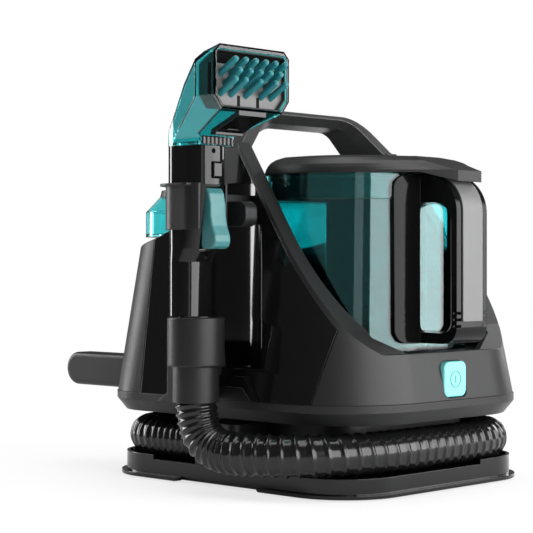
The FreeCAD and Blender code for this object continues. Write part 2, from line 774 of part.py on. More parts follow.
def clean_wire(half, rear, corner, inset, z):
    return plan_wire(half - inset, clean_front + inset, rear - inset, clean_front_r - inset, corner - inset, z)


def clean_block(inset, low, high):
    """Tank volume between two cut heights, inset on every side wall."""
    lower = Part.Face(clean_wire(98.0, 128.0, 35.0, inset, low)).extrude(V(0, 0, clean_shoulder + inset - low))
    middle = Part.Face(clean_wire(108.0, 136.0, 38.0, inset, clean_shoulder + inset)).extrude(
        V(0, 0, clean_slope - clean_shoulder - inset))
    upper = Part.makeLoft([clean_wire(108.0, 136.0, 38.0, inset, clean_slope),
                           clean_wire(97.0, 125.0, 32.0, inset, high)], True, True)
    return lower.fuse(middle).fuse(upper)


clean_tank = clean_block(0, clean_floor, clean_top)
clean_tank = clean_tank.cut(clean_block(clean_wall, clean_floor + clean_wall, clean_top))
valve_boss = 7.5
valve_low = deck_rear - 6.0
pin_radius = 2.5
clean_tank = clean_tank.fuse(rod(valve_boss, (valve_x, valve_y, valve_low), (valve_x, valve_y, clean_floor + 8.0)))
clean_tank = clean_tank.cut(rod(pin_radius + slide_gap, (valve_x, valve_y, 0), (valve_x, valve_y, far)))
save("clean_tank_body", clean_tank)
pin_head = 5.0
valve_pin = rod(pin_radius, (valve_x, valve_y, valve_low - 4.0), (valve_x, valve_y, clean_floor + 8.0 + fit_gap))
valve_pin = valve_pin.fuse(rod(pin_head, (valve_x, valve_y, clean_floor + 8.0 + fit_gap),
                               (valve_x, valve_y, clean_floor + 11.0 + fit_gap)))
save("valve_pin", valve_pin)

cap_x = -52.0
cap_y = 82.0
neck_radius = 19.0
cap_radius = 23.0
cap_height = 7.0
top_plate = Part.makeLoft([clean_wire(97.0, 125.0, 32.0, 0, clean_top),
                           clean_wire(95.5, 123.5, 30.5, 0, clean_plate_top)], True, True)
top_plate = top_plate.cut(rod(neck_radius, (cap_x, cap_y, 0), (cap_x, cap_y, far)))
hinge_x = cap_x
hinge_y = cap_y + cap_radius + 4.0
hinge_z = clean_plate_top + 4.0
hinge_half = 6.0
for side in (-1, 1):
    lug_x = hinge_x + side * (hinge_half + 2.5)
    lug = box(lug_x - 2.0, lug_x + 2.0, hinge_y - 3.0, hinge_y + 3.0, clean_plate_top - 1.0, hinge_z)
    lug = lug.fuse(rod(3.0, (lug_x - 2.0, hinge_y, hinge_z), (lug_x + 2.0, hinge_y, hinge_z)))
    top_plate = top_plate.fuse(lug)
save("clean_tank_top", top_plate)
cap_low = clean_plate_top + fit_gap
cap = rod(cap_radius, (cap_x, cap_y, cap_low), (cap_x, cap_y, cap_low + cap_height))
cap = cap.fuse(tube(neck_radius - 1.2, neck_radius - 3.2, (cap_x, cap_y, clean_top), (cap_x, cap_y, cap_low)))
cap = cap.fuse(box(hinge_x - hinge_half, hinge_x + hinge_half, cap_y + cap_radius - 2.0, hinge_y,
                   hinge_z - 2.0, hinge_z + 2.0))
cap = cap.fuse(rod(2.6, (hinge_x - hinge_half, hinge_y, hinge_z), (hinge_x + hinge_half, hinge_y, hinge_z)))
cap = cap.cut(box(cap_x - 9.0, cap_x + 9.0, cap_y - cap_radius - 1, cap_y - cap_radius + 2.5,
                  cap_low + 2.0, cap_low + 4.5))
save("filler_cap", cap)

# Power button and its switch
button_front = front_face_y - button_proud
button = rounded_block(button_size / 2, button_size / 2, button_x, button_z, button_corner,
                       button_front, button_front + button_depth)
button = fillet_where(button, 1.5, lambda edge: edge.BoundBox.YMax < button_front + 0.01)
save("power_button", button)
switch_half = 12.0
switch_front = button_front + button_depth + button_travel + fit_gap
switch_box = box(-switch_half, switch_half, switch_front, switch_front + 14.0,
                 button_z - switch_half, button_z + switch_half)
switch_box = switch_box.fuse(box(-8.0, 8.0, switch_front, switch_front + 14.0, hollow_floor, button_z))
save("switch_box", switch_box)
save("control_board", box(-board_x, board_x, board_front, board_rear, board_low, board_low + 1.6))

# Fan, motor and pump
fan_radius = 50.0
fan_high = 96.0
fan_wall = 2.5
impeller_radius = 40.0
impeller_low = 72.0
impeller_height = 14.0
shaft_radius = 3.0
motor_radius = 32.0
motor_high = 140.0
fan_housing = rod(fan_radius, (fan_x, fan_y, hollow_floor), (fan_x, fan_y, fan_high))
fan_housing = fan_housing.cut(rod(fan_radius - fan_wall, (fan_x, fan_y, hollow_floor + fan_wall),
                                  (fan_x, fan_y, fan_high - fan_wall)))
shaft_room = rod(shaft_radius + slide_gap, (fan_x, fan_y, 0), (fan_x, fan_y, motor_high - 4.0))
duct_low = 70.0
duct_high = 90.0
duct_front = duct_y - duct_half
duct_inside = box(duct_x - duct_bore, duct_x + duct_bore, duct_front + duct_wall, fan_y - fan_radius + 8.0,
                  duct_low + duct_wall, duct_high - duct_wall)
fan_housing = fan_housing.cut(shaft_room.common(box(-far, far, -far, far, fan_high - 10.0, far)))
fan_housing = fan_housing.cut(duct_inside)
save("fan_housing", fan_housing)
motor = rod(motor_radius, (fan_x, fan_y, fan_high), (fan_x, fan_y, motor_high)).cut(shaft_room)
save("motor_can", motor)
shaft = rod(shaft_radius, (fan_x, fan_y, impeller_low), (fan_x, fan_y, motor_high - 6.0))
impeller = tube(impeller_radius, shaft_radius, (fan_x, fan_y, impeller_low), (fan_x, fan_y, impeller_low + 2.0))
blade_count = 8
for index in range(blade_count):
    blade = box(fan_x + 9.0, fan_x + impeller_radius - 1.0, fan_y - 0.8, fan_y + 0.8,
                impeller_low + 2.0, impeller_low + impeller_height)
    impeller = impeller.fuse(blade.rotated(V(fan_x, fan_y, 0), V(0, 0, 1), index * 360.0 / blade_count))
impeller = impeller.fuse(tube(9.5, shaft_radius, (fan_x, fan_y, impeller_low),
                              (fan_x, fan_y, impeller_low + impeller_height)))
save("impeller", impeller)
save("motor_shaft", shaft)
duct = box(duct_x - duct_half, duct_x + duct_half, duct_front, fan_y, duct_low, duct_high)
duct = duct.fuse(box(duct_x - duct_half, duct_x + duct_half, duct_front, duct_y + duct_half, duct_low,
                     deck_front - deck_thick))
duct = duct.cut(duct_inside)
duct = duct.cut(box(duct_x - duct_bore, duct_x + duct_bore, duct_y - duct_bore, duct_y + duct_bore,
                    duct_low + duct_wall, deck_front))
duct = duct.cut(rod(fan_radius, (fan_x, fan_y, 0), (fan_x, fan_y, far)))
save("suction_duct", duct)
save("water_pump", rod(15.0, (-55.0, 70.0, hollow_floor), (-55.0, 70.0, 133.0)))

# Cord posts and cord gland at the rear: each post is a flat bar with a round end
post_x = 96.0
post_z = 92.6
post_start = 120.0
post_end = 229.0
post_half = 12.0
post_round = 15.5
post_edge = 5.0
cord_posts = []
for side in (-1, 1):
    near_x = side * post_x - post_half
    far_x = side * post_x + post_half
    bend_y = post_end - post_round
    post = box(near_x, far_x, post_start, bend_y, post_z - post_round, post_z + post_round)
    post = post.fuse(rod(post_round, (near_x, bend_y, post_z), (far_x, bend_y, post_z))).removeSplitter()
    post = fillet_where(post, post_edge, lambda edge: edge.BoundBox.XLength < 0.01
                        and edge.BoundBox.YMax > post_start + 1.0)
    cord_posts.append(post.cut(outer))
save("cord_posts", Part.makeCompound(cord_posts))
gland_x = 40.0
gland_z = 92.0
gland = Part.makeCone(9.0, 6.5, 16.0, V(gland_x, 150.0, gland_z), V(0, 1, 0))
gland = gland.cut(rod(3.6, (gland_x, 160.0, gland_z), (gland_x, 170.0, gland_z))).cut(outer)
save("cord_gland", gland)

# Hose cuff: a barrel that grips the hose and a wider collar that takes the hand tool
barrel_radius = 19.5
barrel_low = 76.6
collar_radius = 24.0
collar_low = 106.8
collar_high = 147.7
socket_radius = 16.3
socket_low = 118.0
air_radius = 14.0
hose_radius = 18.0
hose_valley = 16.5
hose_top = 90.0


def tool_axis(z):
    return (tool_x, tool_y, z)


barrel = rod(barrel_radius, tool_axis(barrel_low), tool_axis(collar_low))
collar = rod(collar_radius, tool_axis(collar_low), tool_axis(collar_high))
cuff_solid = fillet_where(collar, 1.5, lambda edge: edge.BoundBox.ZLength < 0.01).fuse(barrel)
cuff = cuff_solid.cut(rod(socket_radius, tool_axis(socket_low), tool_axis(collar_high)))
cuff = cuff.cut(rod(air_radius, tool_axis(hose_top), tool_axis(socket_low)))
cuff = cuff.cut(rod(hose_radius, tool_axis(barrel_low), tool_axis(hose_top)))
save("hose_cuff", cuff)

# Dock bracket between the cuff and the left side of the body
bracket_top = 124.0
bracket = box(-150.0, -115.0, -11.0, 38.0, 78.0, bracket_top)
bracket = fillet_where(bracket, 14.0, lambda edge: edge.BoundBox.XLength > 30 and edge.BoundBox.ZMin > 100)
body_solid = outer.cut(recess).cut(pocket_block(pocket_depth, 0.0))
bracket = bracket.cut(body_solid).cut(saddle).cut(ledge).cut(cuff_solid)
bracket = bracket.common(box(-far, -side_x(78.0) + 8.0, -far, far, 0, far))
save("dock_bracket", bracket)

# Hand tool: grip and stem, each height a rounded outline
stem_sections = [
    (18.0, -23.5, 6.5, 13.5, 148.5),
    (18.0, -24.0, 6.5, 13.5, 194.0),
    (18.0, -31.0, 7.0, 15.0, 205.0),
    (19.0, -40.0, 8.5, 17.0, 258.0),
    (19.0, -40.0, 8.5, 17.0, 290.0),
]


def stem_wire(half, front, rear, corner, z, grow=0.0):
    wire = plan_wire(half + grow, front - grow, rear + grow, corner + grow, corner + grow, z)
    wire.translate(V(tool_x, 0, 0))
    return wire


def stem_shape(grow):
    shape = None
    for low, high in zip(stem_sections, stem_sections[1:]):
        piece = Part.makeLoft([stem_wire(*low, grow), stem_wire(*high, grow)], True, True)
        shape = piece if shape is None else shape.fuse(piece)
    return shape


stem_low = stem_sections[0][4]
stem_high = stem_sections[-1][4]
bore_y = -6.0
bore_radius = 9.0
mouth_radius = 15.0
mouth_low = 277.0
head_gap = fit_gap
spigot = rod(socket_radius - fit_gap, tool_axis(socket_low + fit_gap), tool_axis(stem_low))
stem = stem_shape(0.0).fuse(spigot)
stem = stem.cut(rod(bore_radius, (tool_x, bore_y, 0), (tool_x, bore_y, far)))
stem = stem.cut(rod(mouth_radius, (tool_x, tool_y, mouth_low), (tool_x, tool_y, stem_high)))

trigger_half = 9.0
trigger_low = 204.6
trigger_high = 254.8
trigger_rear = -31.5
pivot_y = -35.0
pivot_z = 250.0
squeeze_room = 4.6
trigger_pocket = prism_x([(-60.0, trigger_low - 1.6), (trigger_rear + squeeze_room, trigger_low - 1.6),
                          (trigger_rear + squeeze_room, trigger_low + 4.0), (trigger_rear + 1.0, pivot_z),
                          (trigger_rear + 1.0, trigger_high + 0.8), (-60.0, trigger_high + 0.8)],
                         tool_x - trigger_half - slide_gap, tool_x + trigger_half + slide_gap)
stem = stem.cut(trigger_pocket)
latch_half = 5.0
latch_low = 263.6
latch_high = 276.0
latch_front = -42.0
latch_travel = 2.0
latch_back = -33.0
stem = stem.cut(box(tool_x - latch_half - slide_gap, tool_x + latch_half + slide_gap, -60.0,
                    latch_back + latch_travel + fit_gap, latch_low - slide_gap, latch_high + slide_gap))
screw_hole = 1.9
for x, z, y in ((tool_x, 198.5, -24.5), (tool_x - 3.4, 285.5, -37.0)):
    stem = stem.cut(rod(screw_hole, (x, -60.0, z), (x, y, z)))
save("tool_stem", stem)

trigger_points = [(trigger_rear, trigger_high - 2.0), (trigger_rear - 2.0, trigger_high),
                  (-37.0, trigger_high), (-40.2, 250.5), (-42.2, 241.0), (-42.4, 232.0), (-44.2, 223.5),
                  (-47.4, 215.5), (-47.8, 210.5), (-46.0, 206.4), (-42.5, trigger_low),
                  (trigger_rear - 2.0, trigger_low), (trigger_rear, trigger_low + 2.0)]
trigger = prism_x(trigger_points, tool_x - trigger_half, tool_x + trigger_half)
trigger = fillet_where(trigger, 1.6, lambda edge: edge.BoundBox.XLength < 0.01 and edge.BoundBox.YMax < -36.0)
trigger_pin = rod(1.6, (tool_x - trigger_half - slide_gap, pivot_y, pivot_z),
                  (tool_x + trigger_half + slide_gap, pivot_y, pivot_z))
save("trigger", trigger.fuse(trigger_pin))
latch = box(tool_x - latch_half, tool_x + latch_half, latch_front, latch_back, latch_low, latch_high)
save("head_latch", fillet_where(latch, 1.2, lambda edge: edge.BoundBox.YMax < latch_front + 0.01))

# Brush head: a flattened hood that opens to the front
head_half = 43.0
head_face = -81.5
head_top = 367.0
head_low = 315.5
head_wall = 2.5
neck_half = 19.0
neck_front = -40.0
neck_z = stem_high + fit_gap
head_side = [(8.5, neck_z), (8.5, 294.0), (-8.0, 314.0), (-34.0, 339.0), (-60.0, 356.5), (head_face, head_top),
             (head_face, head_low), (neck_front, 298.0), (neck_front, neck_z)]
head_plan = [(-5.0, 9.5), (-12.5, 5.5), (-17.4, -0.5), (-neck_half, -7.5), (-head_half, -59.0),
             (-head_half, head_face - 2.0), (head_half, head_face - 2.0), (head_half, -59.0), (neck_half, -7.5),
             (17.4, -0.5), (12.5, 5.5), (5.0, 9.5)]
head_view = [(-neck_half, neck_z), (-neck_half, 296.0), (-head_half, 326.0), (-head_half, 361.0),
             (-head_half + 6.0, head_top), (head_half - 6.0, head_top), (head_half, 361.0), (head_half, 326.0),
             (neck_half, 296.0), (neck_half, neck_z)]


def shrunk(points, inset):
    """Polygon moved inwards by inset."""
    wire = Part.makePolygon([V(a, b, 0) for a, b in points + points[:1]])
    if inset == 0:
        return points
    smaller = wire.makeOffset2D(-inset, 2)
    return [(vertex.X, vertex.Y) for vertex in smaller.OrderedVertexes]


def head_volume(inset):
    side = prism_x(shrunk(head_side, inset), -head_half, head_half)
    plan = prism_z(shrunk(head_plan, inset), neck_z - 1, head_top + 1)
    view = prism_y(shrunk(head_view, inset), head_face - 3, 13.0)
    return side.common(plan).common(view).translated(V(tool_x, 0, 0))


head_inner = head_volume(head_wall)
mouth = head_inner.common(box(-far, far, head_face + head_wall, head_face + head_wall + 0.5, 0, far))
mouth_face = [face for face in mouth.Faces if face.BoundBox.YMax < head_face + head_wall + 0.01][0]
mouth_cut = mouth_face.extrude(V(0, -head_wall - 1, 0))
head = head_volume(0).cut(head_inner).cut(mouth_cut)
neck_plug = rod(mouth_radius - head_gap, tool_axis(mouth_low + 1.0), tool_axis(neck_z + head_wall))
head = head.fuse(neck_plug).cut(rod(mouth_radius - head_wall, tool_axis(mouth_low), tool_axis(neck_z + 6.0)))
save("brush_head", head)

plate_low = 318.5
plate_high = 352.0
plate_front = -76.5
plate_back = -72.5
brush_plate = box(tool_x - head_half, tool_x + head_half, plate_front, plate_back, plate_low, plate_high)
brush_plate = brush_plate.common(head_inner)
notch_half = 1.6
notch_high = 9.0
for x in (tool_x - 11.0, tool_x + 11.0):
    brush_plate = brush_plate.cut(box(x - notch_half, x + notch_half, plate_front - 1, plate_back + 1,
                                      plate_low - 5, plate_low + notch_high))
save("brush_plate", brush_plate)
peg_rows = [
    (344.5, (-31.1, -19.7, -8.3, 3.3, 14.7, 25.9)),
    (336.0, (-26.2, -14.2, -2.6, 8.8, 20.2)),
    (328.6, (-31.1, -19.7, -2.8, 14.7, 26.3)),
]
peg_root = 2.9
peg_tip = 2.6
peg_reach = V(0, -21.0, 12.0)
pegs = []
for z, places in peg_rows:
    for x in places:
        start = V(tool_x + x, plate_front, z)
        peg = Part.makeCone(peg_root, peg_tip, peg_reach.Length, start - peg_reach * 0.2, peg_reach)
        peg = peg.fuse(Part.makeSphere(peg_tip, start + peg_reach * 0.8))
        pegs.append(peg.cut(box(-far, 0, plate_front, 0, 300, 400)))
save("brush_pegs", Part.makeCompound(pegs))

nozzle_half = 15.5
nozzle_step = 1.6
nozzle = prism_x([(head_face, head_low + 1.0), (-49.0, 303.0), (-49.0, 297.6), (-55.0, 297.6), (-55.0, 299.8),
                  (head_face, 311.2)], tool_x - nozzle_half, tool_x + nozzle_half)
nozzle = nozzle.cut(head_volume(0))
nozzle = nozzle.cut(box(tool_x - 7.0, tool_x + 7.0, -65.0, -59.0, 290.0, 304.0 - nozzle_step))
save("spray_nozzle", nozzle)

# Upright fins on a thin backing across the front of the neck of the head
fin_low = neck_z + 0.2
fin_high = 297.5
fin_half = 17.0
fin_back = 0.7
fin_proud = 1.7
fin_width = 1.6
neck_fin_count = 8
neck_ring = box(tool_x - fin_half, tool_x + fin_half, neck_front - fin_back, neck_front, fin_low, fin_high)
for index in range(neck_fin_count):
    x = tool_x + (index / (neck_fin_count - 1) - 0.5) * 2 * (fin_half - fin_width / 2)
    neck_ring = neck_ring.fuse(box(x - fin_width / 2, x + fin_width / 2, neck_front - fin_proud, neck_front,
                                   fin_low, fin_high))
save("neck_ring", neck_ring.cut(head_volume(0)).removeSplitter())

# Clip that holds the stem: a bridge from the recess wall, a rear jaw and a front wedge
clip_low = 220.5
clip_high = 257.0
jaw_wall = 1.8
jaw_front = -35.8
lip_grow = 7.0
lip_thick = 2.0
clip_room = stem_sections[3]
clip_inner = Part.Face(stem_wire(*clip_room[:4], clip_low - 1, slide_gap)).extrude(V(0, 0, 60.0))
clip_outer = Part.Face(stem_wire(*clip_room[:4], clip_low, slide_gap + jaw_wall)).extrude(
    V(0, 0, clip_high + lip_thick - clip_low))
clip = clip_outer.common(box(-far, 0, jaw_front, far, 0, far))
lip = Part.Face(stem_wire(*clip_room[:4], clip_high, lip_grow)).extrude(V(0, 0, lip_thick))
clip = clip.fuse(lip.common(box(-far, tool_x, -30.0, far, 0, far)))
clip = clip.fuse(box(-147.0, -90.0, -22.0, 13.0, clip_low + 6.0, clip_high - 6.0))
thumb = box(-142.0, -128.5, -50.0, -20.0, 223.5, 244.5)
thumb = fillet_where(thumb, 8.0, lambda edge: edge.BoundBox.XLength > 10 and edge.BoundBox.YMax < -49.9)
clip = clip.fuse(thumb).cut(clip_inner).cut(body_solid)
clip = clip.common(box(-far, recess_x + recess_radius + 1, -far, far, 0, far))
save("tool_clip", clip)

# Hose inlet on the left side of the waist
inlet_front = -22.0
inlet_rear = 26.0
inlet_out = -128.0
inlet_low = 17.5
inlet_high = 55.0
hose_z = 36.0
hose_end_x = -108.0
inlet = box(inlet_out, -core_half, inlet_front, inlet_rear, inlet_low, inlet_high)
inlet = fillet_where(inlet, 8.0, lambda edge: edge.BoundBox.ZLength > 20 and edge.BoundBox.XMax < inlet_out + 0.1
                     and edge.BoundBox.YMin < 0)
inlet = inlet.cut(rod(air_radius, (hose_end_x, 4.0, hose_z), (hose_end_x, inlet_rear, hose_z)))
inlet = inlet.cut(rod(air_radius, (hose_end_x, 4.0, hose_z), (-core_half, 4.0, hose_z)))
save("hose_inlet", inlet)

# Hose: straight runs joined by tangent arcs, with the same rib repeated along it
hose_points = [(-166.0, -15.0, 90.0), (-166.0, -15.0, 55.5), (-162.0, -34.0, 36.0), (-158.0, -72.0, 36.0),
               (-128.0, -120.0, 36.0), (-75.0, -138.5, 36.0), (5.0, -137.5, 36.0), (82.0, -134.5, 36.0),
               (112.0, -108.0, 36.0), (114.0, -36.0, 36.0), (113.6, 36.0, 36.0), (112.0, 108.0, 36.0),
               (83.0, 136.0, 36.0), (0.0, 137.0, 36.0), (-80.0, 136.0, 36.0), (-109.0, 108.0, 36.0),
               (-108.0, 66.0, 36.0), (-108.0, 26.0, 36.0)]
hose_bore = 14.0
rib_pitch = 9.0


def route_edges(points):
    """Straight edges and tangent arcs along the points, in order."""
    spots = [V(*p) for p in points]
    edges = []
    start = spots[0]
    for before, corner, after in zip(spots, spots[1:], spots[2:]):
        into = corner - before
        out = after - corner
        turn = into.getAngle(out)
        reach = 0.45 * min(into.Length, out.Length)
        radius = reach / math.tan(turn / 2)
        print("bend radius", round(radius, 1))
        into.normalize()
        out.normalize()
        arc_start = corner - into * reach
        arc_end = corner + out * reach
        toward = out - into
        toward.normalize()
        centre = corner + toward * (radius / math.cos(turn / 2))
        edges.append(Part.makeLine(start, arc_start))
        edges.append(Part.Arc(arc_start, centre - toward * radius, arc_end).toShape())
        start = arc_end
    edges.append(Part.makeLine(start, spots[-1]))
    return edges


def point_along(edges, distance):
    """Position and direction at a distance from the start of the route."""
    for edge in edges:
        if distance <= edge.Length or edge is edges[-1]:
            at = edge.getParameterByLength(min(distance, edge.Length))
            return edge.valueAt(at), edge.tangentAt(at)
        distance -= edge.Length


hose_edges = route_edges(hose_points)
hose_length = sum(edge.Length for edge in hose_edges)
rib_count = round(hose_length / rib_pitch)
rib_step = hose_length / rib_count


def hose_ring(distance, radius):
    """Circle square to the route, whose start always lies on its level side."""
    spot, along = point_along(hose_edges, distance)
    side = along.cross(V(0, 0, 1))
    if side.Length < 0.2:
        side = V(1, 0, 0) if side.Length < 0.001 else side
    side.normalize()
    return spot, along, side, radius


def ring_wire(distance, radius):
    spot, along, side, radius = hose_ring(distance, radius)
    circle = Part.Circle()
    placed = FreeCAD.Placement(spot, FreeCAD.Rotation(side, along.cross(side), along, "ZXY"))
    circle.Radius = radius
    wire = Part.Wire([circle.toShape()])
    wire.Placement = placed
    return wire


rings = []
for index in range(rib_count):
    here = index * rib_step
    rings.append(ring_wire(here, hose_valley))
    rings.append(ring_wire(here + rib_step * 0.45, hose_valley))
    rings.append(ring_wire(here + rib_step * 0.58, hose_radius))
    rings.append(ring_wire(here + rib_step * 0.85, hose_radius))
rings.append(ring_wire(hose_length, hose_valley))
hose_solid = Part.makeLoft(rings, True, True)
bore = Part.Wire(hose_edges).makePipeShell([ring_wire(0, hose_bore)], True, False)
hose = hose_solid.cut(bore)
print("hose length", round(hose_length, 1), "ribs", rib_count, "volume", round(hose.Volume),
      "section by length", round(math.pi * (hose_valley ** 2 - hose_bore ** 2) * hose_length))
save("hose", hose)
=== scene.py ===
import bisect
import math

import bmesh
import bpy
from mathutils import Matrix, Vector


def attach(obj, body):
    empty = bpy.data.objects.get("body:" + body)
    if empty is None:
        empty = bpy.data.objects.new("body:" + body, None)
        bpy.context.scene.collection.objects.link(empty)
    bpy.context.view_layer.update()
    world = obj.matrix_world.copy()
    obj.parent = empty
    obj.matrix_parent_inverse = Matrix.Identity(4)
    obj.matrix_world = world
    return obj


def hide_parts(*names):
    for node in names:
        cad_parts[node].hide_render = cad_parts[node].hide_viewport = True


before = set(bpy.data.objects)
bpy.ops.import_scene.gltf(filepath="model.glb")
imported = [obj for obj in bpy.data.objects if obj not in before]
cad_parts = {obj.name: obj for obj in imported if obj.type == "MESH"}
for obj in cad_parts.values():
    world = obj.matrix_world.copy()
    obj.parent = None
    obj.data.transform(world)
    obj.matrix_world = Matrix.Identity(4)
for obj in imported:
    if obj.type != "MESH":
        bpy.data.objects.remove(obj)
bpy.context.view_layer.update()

# Camera and studio
# The machine stands on a plain white sweep under large soft lamps, and is seen
# level with its middle, turned so that its left side and its front both show.

scene = bpy.context.scene
scene.view_settings.view_transform = "Standard"

eye = Vector((-1.106, -1.005, 0.190))
look = Vector((0.7193, 0.6947, 0.0))
camera_data = bpy.data.cameras.new("camera")
camera_data.sensor_width = 36.0
camera_data.lens = 110.1
camera_data.clip_end = 50.0
camera = bpy.data.objects.new("camera", camera_data)
camera.location = eye
camera.rotation_euler = look.to_track_quat("-Z", "Y").to_euler()
scene.collection.objects.link(camera)
scene.camera = camera


def softbox(name, place, target, width, height, watts):
    """A rectangular studio lamp that faces its target."""
    lamp = bpy.data.lights.new(name, "AREA")
    lamp.shape = "RECTANGLE"
    lamp.size = width
    lamp.size_y = height
    lamp.energy = watts
    stand = bpy.data.objects.new(name, lamp)
    stand.location = place
    stand.rotation_euler = (Vector(target) - Vector(place)).to_track_quat("-Z", "Y").to_euler()
    scene.collection.objects.link(stand)


softbox("lamp_front", (0.50, -1.80, 0.62), (0.1, 0.0, 0.30), 3.0, 1.25, 78.0)
softbox("lamp_front_edge", (-1.13, -1.43, 0.55), (0.0, 0.0, 0.25), 0.36, 1.1, 1.5)
softbox("lamp_back_left", (-0.55, 1.60, 0.70), (0.0, 0.0, 0.20), 0.45, 1.4, 20.0)
softbox("lamp_right", (1.75, 0.10, 0.75), (0.0, 0.0, 0.20), 0.6, 1.2, 10.0)
softbox("lamp_top", (-0.10, 0.00, 1.60), (0.0, 0.0, 0.2), 1.2, 1.2, 17.0)


class Value:
    """A socket in a finish. Sums on it add the nodes that work them out."""

    def __init__(self, finish, socket):
        self.finish = finish
        self.socket = socket

    def sum(self, operation, first, second):
        return self.finish.node("ShaderNodeMath", {"operation": operation}, {0: first, 1: second})

    def __add__(self, other):
        return self.sum("ADD", self, other)

    def __mul__(self, other):
        return self.sum("MULTIPLY", self, other)


class Finish:
    """One procedural material, with its fixed values set on the shader itself."""

    def __init__(self, name, **fixed):
        self.material = bpy.data.materials.new(name)
        self.material.use_nodes = True
        self.tree = self.material.node_tree
        self.shader = self.tree.nodes["Principled BSDF"]
        self.output = self.tree.nodes["Material Output"]
        for socket, value in fixed.items():
            self.shader.inputs[socket.replace("_", " ").title().replace("Ior", "IOR")].default_value = value

    def node(self, kind, settings=None, sockets=None, output=0):
        """Adds a node, sets it, fills its sockets and gives one of its outputs."""
        node = self.tree.nodes.new(kind)
        for setting, value in (settings or {}).items():
            setattr(node, setting, value)
        for socket, value in (sockets or {}).items():
            self.feed(node.inputs[socket], value)
        return Value(self, node.outputs[output])

    def feed(self, socket, value):
        if isinstance(value, Value):
            self.tree.links.new(value.socket, socket)
        else:
            socket.default_value = value

    def set(self, **sockets):
        for name, value in sockets.items():
            self.feed(self.shader.inputs[name.replace("_", " ")], value)

    def place(self):
        """Place on the object, in metres."""
        return self.node("ShaderNodeTexCoord", output=3)

    def noise(self, scale, detail=2.0, place=None):
        return self.node("ShaderNodeTexNoise", {}, {"Vector": place or self.place(), "Scale": scale,
                                                    "Detail": detail})

    def between(self, factor, low, high):
        """A colour that goes from low to high with the factor."""
        return self.node("ShaderNodeMix", {"data_type": "RGBA"}, {0: factor, 6: low, 7: high}, 2)

    def remap(self, value, low, high, to_low, to_high):
        return self.node("ShaderNodeMapRange", {}, {"Value": value, "From Min": low, "From Max": high,
                                                    "To Min": to_low, "To Max": to_high})

    def raised(self, height, depth, edge=0.0):
        """Surface relief of that depth in metres, over softened edges where edge is their radius."""
        sockets = {"Height": height, "Distance": depth}
        if edge:
            sockets["Normal"] = self.node("ShaderNodeBevel", {"samples": 6}, {"Radius": edge})
        self.set(Normal=self.node("ShaderNodeBump", {}, sockets))


def grey(level, tint=0.0):
    return (level, level * (1 + tint * 0.5), level * (1 + tint), 1.0)


floor_finish = Finish("white_sweep", roughness=0.9)
floor_finish.set(**{"Base Color": floor_finish.between(
    floor_finish.noise(3.0), (0.86, 0.86, 0.86, 1.0), (0.90, 0.90, 0.90, 1.0))})
floor_seen = floor_finish.node("ShaderNodeLightPath")
floor_glow = floor_finish.node("ShaderNodeEmission", {}, {"Color": (1.0, 1.0, 1.0, 1.0), "Strength": 1.0})
floor_away = floor_finish.node("ShaderNodeVectorMath", {"operation": "LENGTH"}, {0: floor_finish.place()}, 1)
shadow_reach, sweep_start, shadow_glow = 0.25, 1.1, 0.70
floor_share = floor_finish.remap(floor_away, shadow_reach, sweep_start, shadow_glow, 1.0)
floor_mix = floor_finish.node("ShaderNodeMixShader", {}, {
    0: floor_seen * floor_share, 1: Value(floor_finish, floor_finish.shader.outputs[0]), 2: floor_glow})
floor_finish.feed(floor_finish.output.inputs["Surface"], floor_mix)

floor_half = 12
floor_mesh = bpy.data.meshes.new("floor")
floor_mesh.from_pydata([(-floor_half, -floor_half, 0), (floor_half, -floor_half, 0),
                        (floor_half, floor_half, 0), (-floor_half, floor_half, 0)], [], [(0, 1, 2, 3)])
floor_mesh.materials.append(floor_finish.material)
floor = bpy.data.objects.new("floor", floor_mesh)
scene.collection.objects.link(floor)

world = bpy.data.worlds.new("studio")
world.use_nodes = True
scene.world = world
air = world.node_tree
background = air.nodes["Background"]
background.inputs["Color"].default_value = (1.0, 1.0, 1.0, 1.0)
rays = air.nodes.new("ShaderNodeLightPath")
seen = air.nodes.new("ShaderNodeMath")
seen.operation = "MAXIMUM"
air.links.new(rays.outputs["Is Camera Ray"], seen.inputs[0])
air.links.new(rays.outputs["Is Transmission Ray"], seen.inputs[1])
level = air.nodes.new("ShaderNodeMapRange")
level.inputs["To Min"].default_value = 0.12
level.inputs["To Max"].default_value = 1.0
air.links.new(seen.outputs[0], level.inputs["Value"])
air.links.new(level.outputs[0], background.inputs["Strength"])


def stack(name, loops, ring):
    """A closed mesh through loops of points, either round a ring or from cap to cap."""
    build = bmesh.new()
    rows = [[build.verts.new(spot) for spot in loop] for loop in loops]
    for low, high in list(zip(rows, rows[1:])) + ([(rows[-1], rows[0])] if ring else []):
        for index in range(len(low)):
            beside = (index + 1) % len(low)
            build.faces.new((low[index], low[beside], high[beside], high[index]))
    if not ring:
        build.faces.new(rows[0][::-1])
        build.faces.new(rows[-1])
    bmesh.ops.recalc_face_normals(build, faces=build.faces)
    mesh = bpy.data.meshes.new(name)
    build.to_mesh(mesh)
    build.free()
    return mesh


def piece(name, mesh, finish, body, smooth=True):
    """Puts a finished mesh on the machine as a named piece that rides on a body."""
    mesh.materials.append(finish.material)
    if smooth:
        mesh.polygons.foreach_set("use_smooth", [True] * len(mesh.polygons))
    made = bpy.data.objects.new(name, mesh)
    scene.collection.objects.link(made)
    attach(made, body)
    return made


# Hose
# A thin-walled black tube over a wound stiffening wire, which stands out as ribs.
# It leaves the cuff, goes once round the waist and ends in the inlet on the left.

